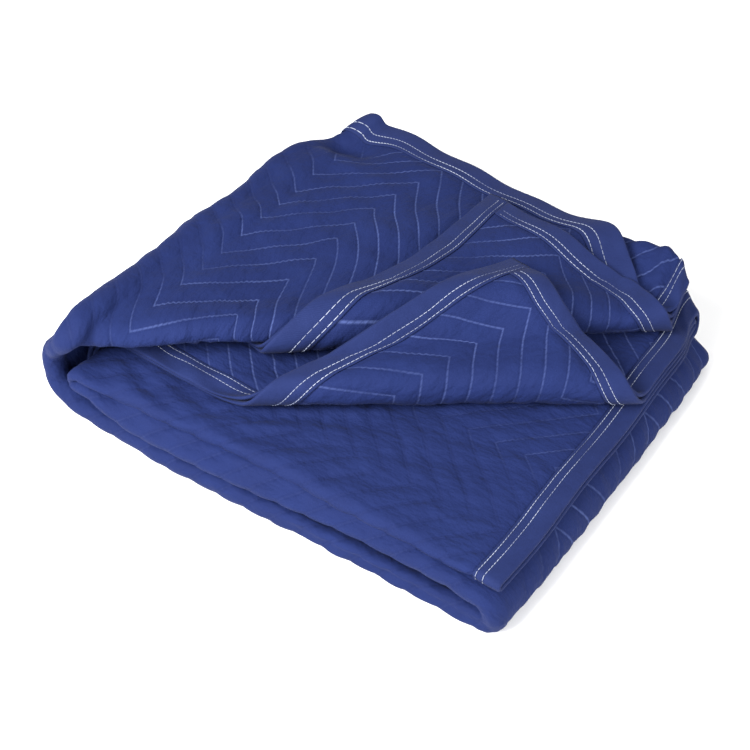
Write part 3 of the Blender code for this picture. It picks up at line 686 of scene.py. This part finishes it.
def blanket_finish():
    """Matt blue cloth: a fine plain weave, soft mottling, fuzz that catches the light, and along every
    chevron row a line of paler thread in stitches, which pulls the cloth in beside it; that pulled-in band
    is also darkened in colour as painted shade."""
    nodes = Nodes("blanket_cloth")
    place = nodes.add("ShaderNodeUVMap", uv_map="flat").outputs[0]
    solid = nodes.add("ShaderNodeTexCoord").outputs["Object"]
    split = nodes.add("ShaderNodeSeparateXYZ", {0: place})
    s, t = split.outputs[0], split.outputs[1]

    bent = nodes.math("PINGPONG", nodes.math("SUBTRACT", t, CHEVRON_START), CHEVRON_SPAN)
    wander = nodes.math("MULTIPLY", nodes.math("SUBTRACT", nodes.noise(place, 30.0), 0.5), 0.0022)
    along = nodes.math("ADD", nodes.math("SUBTRACT", s, bent), wander)
    row = nodes.math("FRACT", nodes.math("DIVIDE", along, ROW_PITCH))
    from_middle = nodes.math("ABSOLUTE", nodes.math("SUBTRACT", row, 0.5))
    off_row = nodes.math("MULTIPLY", nodes.math("SUBTRACT", 0.5, from_middle), ROW_PITCH)
    thread = nodes.falloff(off_row, THREAD_REACH)
    pull_dent_and_shade = nodes.falloff(off_row, PULL_AND_SHADE_REACH)
    stitch = nodes.math("PINGPONG", nodes.math("DIVIDE", t, QUILT_STITCH), 0.5)
    lifted = nodes.math("MINIMUM", nodes.math("MULTIPLY_ADD", stitch, 3.0, 0.45), 1.0)
    on_stitch = nodes.math("MULTIPLY", thread, lifted)

    faint = nodes.math("SUBTRACT", nodes.math("MULTIPLY", nodes.noise(place, 11.0, 4.0), 2.4), 0.50)
    from_roll = nodes.math("ABSOLUTE", nodes.math("SUBTRACT", t, ROLL_T))
    on_lower_level = nodes.math("LESS_THAN", s, LEVEL_1)
    lower = nodes.math("MULTIPLY", on_lower_level, nodes.math("LESS_THAN", from_roll, 0.46))
    on_top_level = nodes.math("GREATER_THAN", s, S_4 - 0.5 * TURN_OUT)
    upper = nodes.math("MULTIPLY", on_top_level, nodes.ramp(from_roll, 0.03, 0.06))
    worn = nodes.ramp(from_roll, 0.07, 0.16, 0.12)
    keep = nodes.math("SUBTRACT", worn, nodes.math("MULTIPLY", lower, 0.62))
    keep = nodes.math("MULTIPLY", faint, nodes.math("MAXIMUM", keep, upper))
    show = nodes.math("MULTIPLY", on_stitch, nodes.math("MAXIMUM", keep, 0.05))

    mottle = nodes.noise(solid, 22.0, 4.0)
    fade = nodes.noise(solid, 5.0, 3.0)
    grain = nodes.noise(place, 900.0, 2.0)
    colour = nodes.blend(mottle, (0.0056, 0.0102, 0.049, 1.0), (0.0114, 0.0208, 0.088, 1.0))
    colour = nodes.blend(nodes.math("MULTIPLY", fade, 0.45), colour, (0.0130, 0.0220, 0.083, 1.0))
    colour = nodes.blend(nodes.math("MULTIPLY", grain, 0.35), colour, (0.0022, 0.0044, 0.032, 1.0))
    # Painted shade: the band pulled in beside every quilting row is darkened in colour, as shade in its
    # valley.
    colour = nodes.blend(nodes.math("MULTIPLY", pull_dent_and_shade, 0.22), colour, (0.0022, 0.0044, 0.031, 1.0))
    colour = nodes.blend(show, colour, (0.044, 0.063, 0.170, 1.0))
    nodes.join(colour, nodes.shader.inputs["Base Color"])
    nodes.join(nodes.math("ADD", 0.68, nodes.math("MULTIPLY", mottle, 0.2)), nodes.shader.inputs["Roughness"])

    weave_s = nodes.math("SINE", nodes.math("MULTIPLY", s, 2.0 * math.pi / WEAVE_PITCH))
    weave_t = nodes.math("SINE", nodes.math("MULTIPLY", t, 2.0 * math.pi / WEAVE_PITCH))
    weave = nodes.math("MULTIPLY", weave_s, weave_t)
    crinkle = nodes.add("ShaderNodeMapping", {"Vector": place, "Scale": (1.0, 1.7, 1.0)}).outputs[0]
    crease = nodes.math("MULTIPLY", nodes.noise(crinkle, 62.0, 3.0), 0.0038)
    height = nodes.math("ADD", nodes.math("MULTIPLY", weave, 0.00007), crease)
    height = nodes.math("ADD", height, nodes.math("MULTIPLY", nodes.noise(solid, 160.0, 2.0), 0.0005))
    height = nodes.math("ADD", height, nodes.math("MULTIPLY", on_stitch, 0.0003))
    height = nodes.math("SUBTRACT", height, nodes.math("MULTIPLY", pull_dent_and_shade, 0.0005))
    nodes.bump(height, 0.85)
    nodes.shader.inputs["Sheen Weight"].default_value = 0.03
    nodes.shader.inputs["Sheen Roughness"].default_value = 0.45
    nodes.shader.inputs["Sheen Tint"].default_value = (0.45, 0.52, 1.0, 1.0)
    nodes.shader.inputs["Specular IOR Level"].default_value = 0.07
    return nodes.material


points, rows, flat = closed_cloth()
blanket = add_piece("quilted_blanket", points, flat, rows)
blanket.data.materials.append(blanket_finish())
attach(blanket, "root")
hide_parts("blanket")

# Edge tapes
# Woven tape folded over the raw edge on all four sides and sewn down: the two long sides first, from end to
# end, and the two short ends between them. Each is a flattened U that grips the thin hem.
TAPE_STEP = 0.003
ROWS_IN = (0.0160, 0.0235)


def tape_profile():
    """Section of a tape as (depth from the cloth's edge, height): the outer side over the edge and back,
    then the inner side. The cloth is drawn in a little under both rows of stitches."""
    outer = HALF_THICK_HEM + TAPE_GAP + TAPE_THICK
    inner = HALF_THICK_HEM + TAPE_GAP
    depth = np.linspace(TAPE_WIDTH, 0.001, 22)
    dip = sum(np.exp(-(((depth - row) / 0.0011) ** 2)) for row in ROWS_IN)
    swell = np.sin(math.pi * np.clip(depth / TAPE_WIDTH, 0.0, 1.0)) * 0.0004
    lip = smooth(depth, TAPE_WIDTH - 0.0015, TAPE_WIDTH) * 0.0003
    top = outer + swell - 0.0004 * dip - lip
    turn = np.linspace(0.5 * math.pi, 1.5 * math.pi, 9)[1:-1]
    edge_depth = 0.001 + (TAPE_EDGE_GAP + TAPE_THICK + 0.001) * np.cos(turn)
    edge_height = outer * np.sin(turn)
    inner_depth = np.linspace(TAPE_WIDTH, -TAPE_EDGE_GAP, 9)
    inner_height = np.full(9, inner)
    depths = [depth, edge_depth, depth[::-1], inner_depth, inner_depth[::-1]]
    heights = [top, edge_height, -top[::-1], -inner_height, inner_height]
    return np.concatenate(depths), np.concatenate(heights)


def swept(stations, profile_depth, profile_height, corner, along, inward):
    """Points of a profile carried along an edge of the flat cloth: (s, t, offset) = corner + place * along
    + depth * inward, with the profile's height as the offset."""
    place, depth = np.meshgrid(stations, profile_depth, indexing="ij")
    height = np.broadcast_to(profile_height, place.shape)
    s = corner[0] + along[0] * place + inward[0] * depth
    t = corner[1] + along[1] * place + inward[1] * depth
    return s.ravel(), t.ravel(), height.ravel()


def tube_faces(rings, sides):
    """Quads of a closed section swept along its rings."""
    j, k = np.meshgrid(np.arange(rings - 1), np.arange(sides), indexing="ij")
    a = j * sides + k
    b = j * sides + (k + 1) % sides
    return np.stack([a, b, b + sides, a + sides], axis=-1).reshape(-1, 4)


def end_faces(rings, sides):
    """The two flat ends of a swept section, each one face round its ring."""
    return np.stack([np.arange(sides)[::-1], np.arange(sides) + (rings - 1) * sides])


def tape_finish():
    """Blue tape with fine ribs across it and a fine, slightly paler grain."""
    nodes = Nodes("binding_tape")
    place = nodes.add("ShaderNodeUVMap", uv_map="flat").outputs[0]
    solid = nodes.add("ShaderNodeTexCoord").outputs["Object"]
    split = nodes.add("ShaderNodeSeparateXYZ", {0: place})
    s, t = split.outputs[0], split.outputs[1]
    mottle = nodes.noise(solid, 40.0, 4.0)
    grain = nodes.noise(solid, 700.0, 2.0)
    colour = nodes.blend(mottle, (0.0052, 0.0096, 0.046, 1.0), (0.0108, 0.0190, 0.078, 1.0))
    colour = nodes.blend(nodes.math("MULTIPLY", grain, 0.30), colour, (0.0156, 0.0246, 0.088, 1.0))
    nodes.join(colour, nodes.shader.inputs["Base Color"])
    ribs = nodes.math("SINE", nodes.math("MULTIPLY", nodes.math("ADD", s, t), 2.0 * math.pi / 0.0013))
    crease = nodes.math("MULTIPLY", nodes.noise(solid, 130.0, 3.0), 0.0009)
    nodes.bump(nodes.math("ADD", nodes.math("MULTIPLY", ribs, 0.00008), crease), 0.8)
    nodes.shader.inputs["Roughness"].default_value = 0.72
    nodes.shader.inputs["Sheen Weight"].default_value = 0.02
    nodes.shader.inputs["Specular IOR Level"].default_value = 0.08
    return nodes.material


# Tapes: (node, corner it starts from, direction along it, direction inwards, length, how far it is cut back)
OVERHANG = TAPE_EDGE_GAP + TAPE_THICK
TAPES = [
    ("binding_left", (0.0, 0.0), (1.0, 0.0), (0.0, 1.0), LENGTH, -OVERHANG),
    ("binding_right", (0.0, WIDTH), (1.0, 0.0), (0.0, -1.0), LENGTH, -OVERHANG),
    ("binding_start", (0.0, 0.0), (0.0, 1.0), (1.0, 0.0), WIDTH, TAPE_WIDTH + TAPE_GAP),
    ("binding_end", (LENGTH, 0.0), (0.0, 1.0), (-1.0, 0.0), WIDTH, TAPE_WIDTH + TAPE_GAP),
]
tape_material = tape_finish()
for node, corner, along, inward, length, cut_back in TAPES:
    depth, height = tape_profile()
    stations = np.linspace(cut_back, length - cut_back, int(length / TAPE_STEP))
    s, t, offset = swept(stations, depth, height, corner, along, inward)
    points = fold(s, t, offset)
    turn = 1 if along[0] * inward[1] - along[1] * inward[0] < 0.0 else -1
    sides = tube_faces(len(stations), len(depth))[:, ::turn]
    ends = end_faces(len(stations), len(depth))[:, ::turn]
    tape = add_piece(node + "_tape", points, np.stack([s, t], axis=1), sides, ends)
    tape.data.materials.append(tape_material)
    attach(tape, "root")
    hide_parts(node)

# Stitches
# Two rows of pale thread hold each tape, sewn through all layers by a machine with two needles, so the
# same stitches show on both faces of the blanket.
STITCH_PITCH = 0.0046
STITCH_LENGTH = 0.0040
STITCH_RADIUS = 0.00034
STITCH_SIDES = 5
STITCH_RINGS = 4


def stitch_form():
    """Points of one stitch, (along, across, up): rings round a thread that dives into the cloth at each
    end."""
    along = np.array([-0.5, -0.3, 0.3, 0.5]) * STITCH_LENGTH
    rise = np.array([-0.0003, 0.00012, 0.00012, -0.0003])
    wide = np.array([0.6, 1.0, 1.0, 0.6]) * STITCH_RADIUS
    turn = 2.0 * math.pi * np.arange(STITCH_SIDES) / STITCH_SIDES
    x = np.repeat(along, STITCH_SIDES)
    y = np.outer(wide, np.cos(turn)).ravel()
    z = (rise[:, None] + np.outer(wide, np.sin(turn))).ravel()
    return x, y, z


def stitch_rows(corner, along, inward, length, cut_back):
    """Every stitch of a tape: the form repeated along two rows on both faces, in (s, t, offset)."""
    x, y, z = stitch_form()
    first = max(cut_back, 0.0) + 0.003
    count = int((length - 2.0 * first) / STITCH_PITCH)
    at = first + STITCH_PITCH * (np.arange(count) + 0.5)
    top = HALF_THICK_HEM + TAPE_GAP + TAPE_THICK
    s, t, offset, sides, ends = [], [], [], [], []
    base = 0
    for side in (-1.0, 1.0):
        for row in ROWS_IN:
            place = (at[:, None] + x).ravel()
            depth = np.tile(row + y, count)
            s.append(corner[0] + along[0] * place + inward[0] * depth)
            t.append(corner[1] + along[1] * place + inward[1] * depth)
            offset.append(side * np.tile(top + 0.0002 + z, count))
            turn = 1 if side * (along[0] * inward[1] - along[1] * inward[0]) < 0.0 else -1
            each = base + len(x) * np.arange(count)[:, None, None]
            tube = tube_faces(STITCH_RINGS, STITCH_SIDES)[None, :, ::turn] + each
            closed = end_faces(STITCH_RINGS, STITCH_SIDES)[None, :, ::turn] + each
            sides.append(tube.reshape(-1, 4))
            ends.append(closed.reshape(-1, STITCH_SIDES))
            base += len(x) * count
    return [np.concatenate(found) for found in (s, t, offset, sides, ends)]


def thread_finish():
    """Twisted polyester thread, off-white, a little grey where it is worn."""
    nodes = Nodes("pale_thread")
    solid = nodes.add("ShaderNodeTexCoord").outputs["Object"]
    worn = nodes.noise(solid, 16.0, 4.0)
    worn = nodes.math("SUBTRACT", nodes.math("MULTIPLY", worn, 3.4), 1.15)
    worn = nodes.math("MAXIMUM", nodes.math("MINIMUM", worn, 1.0), 0.0)
    colour = nodes.blend(worn, (0.045, 0.058, 0.130, 1.0), (0.30, 0.33, 0.42, 1.0))
    nodes.join(colour, nodes.shader.inputs["Base Color"])
    twist = nodes.noise(solid, 2500.0, 1.0)
    nodes.bump(nodes.math("MULTIPLY", twist, 0.0002), 0.6)
    nodes.shader.inputs["Roughness"].default_value = 0.55
    return nodes.material


thread_material = thread_finish()
for node, *tape in TAPES:
    s, t, offset, sides, ends = stitch_rows(*tape)
    thread = add_piece(node + "_stitches", fold(s, t, offset), np.stack([s, t], axis=1), sides, ends)
    thread.data.materials.append(thread_material)
    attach(thread, "root")

# Floor and light
# A seamless pale studio floor under the folded blanket, one broad soft light over its front left, a weaker
# one from the right and a faint one from above, with an even white surround.
floor_mesh = bpy.data.meshes.new("floor")
floor_mesh.from_pydata([(-6, -6, 0), (6, -6, 0), (6, 6, 0), (-6, 6, 0)], [], [(0, 1, 2, 3)])
floor = bpy.data.objects.new("floor", floor_mesh)
bpy.context.collection.objects.link(floor)
floor_nodes = Nodes("pale_floor")
floor_nodes.shader.inputs["Base Color"].default_value = (0.90, 0.90, 0.90, 1.0)
floor_nodes.shader.inputs["Roughness"].default_value = 0.7
floor_mesh.materials.append(floor_nodes.material)

# Lights: (name, position, size, watts)
LIGHTS = [
    ("key", (-0.6, -1.75, 1.5), 1.3, 150.0),
    ("fill", (1.9, -0.6, 1.0), 1.4, 52.0),
    ("top", (0.1, 0.6, 2.2), 1.8, 10.0),
]
for name, position, size, watts in LIGHTS:
    light = bpy.data.lights.new(name, "AREA")
    light.size = size
    light.energy = watts
    lamp = bpy.data.objects.new(name, light)
    lamp.location = position
    lamp.rotation_mode = "QUATERNION"
    lamp.rotation_quaternion = (-Vector(position)).to_track_quat("-Z", "Y")
    bpy.context.collection.objects.link(lamp)
world = bpy.data.worlds.new("surround")
world.use_nodes = True
world.node_tree.nodes["Background"].inputs["Color"].default_value = (1.0, 1.0, 1.0, 1.0)
world.node_tree.nodes["Background"].inputs["Strength"].default_value = 0.52
bpy.context.scene.world = world
bpy.context.scene.view_settings.view_transform = "Standard"
